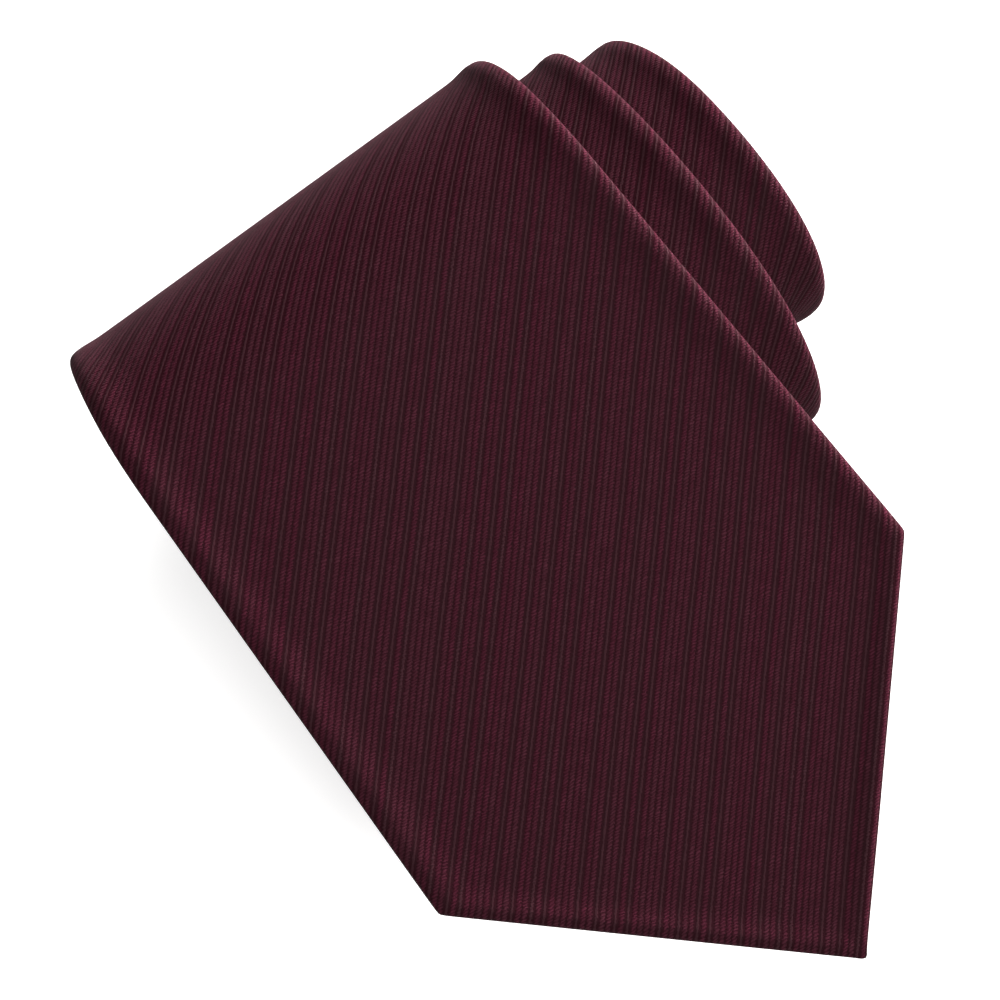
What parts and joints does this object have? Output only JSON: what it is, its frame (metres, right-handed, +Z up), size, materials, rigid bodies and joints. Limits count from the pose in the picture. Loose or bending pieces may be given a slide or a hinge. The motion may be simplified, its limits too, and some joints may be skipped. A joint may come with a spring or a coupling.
{
  "type": "necktie",
  "caption": "Burgundy ribbed silk necktie, rolled up from its narrow end with the wide pointed blade lying over the roll",
  "frame": {"origin": "middle of the flat underside of the roll, on the surface that the tie lies on", "axes": "+X along the blade towards its point, +Y along the axis of the roll towards the side where the inner turns stand out, +Z up"},
  "size_m": [0.1428, 0.1123, 0.0536],
  "materials": {
    "shell_silk": "ribbed silk twill, burgundy ribs with dark grey ones between, ribs at 45 degrees to the tie",
    "wool_interlining": "brushed natural wool interlining",
    "tipping_satin": "plain burgundy satin lining",
    "sewing_thread": "burgundy silk sewing thread"
  },
  "bodies": {
    "roll": {"blade_shell_rolled": "shell_silk", "neck_shell": "shell_silk", "tail_shell": "shell_silk", "blade_interlining_rolled": "wool_interlining", "neck_interlining": "wool_interlining", "tail_interlining": "wool_interlining", "tail_tipping": "tipping_satin", "neck_join": "sewing_thread", "tail_join": "sewing_thread", "slip_stitch": "sewing_thread", "tail_bar_tack": "sewing_thread", "keeper_loop": "shell_silk", "keeper_tack_left": "sewing_thread", "keeper_tack_right": "sewing_thread"},
    "blade": {"blade_shell": "shell_silk", "blade_interlining": "wool_interlining", "blade_tipping": "tipping_satin", "blade_bar_tack": "sewing_thread"}
  },
  "joints": [
    {"name": "blade_lift", "type": "hinge", "parent": "roll", "child": "blade", "pos_m": [0.00713, 0, 0.0511], "axis": [0, -1, 0], "range_deg": [0, 80]}
  ]
}
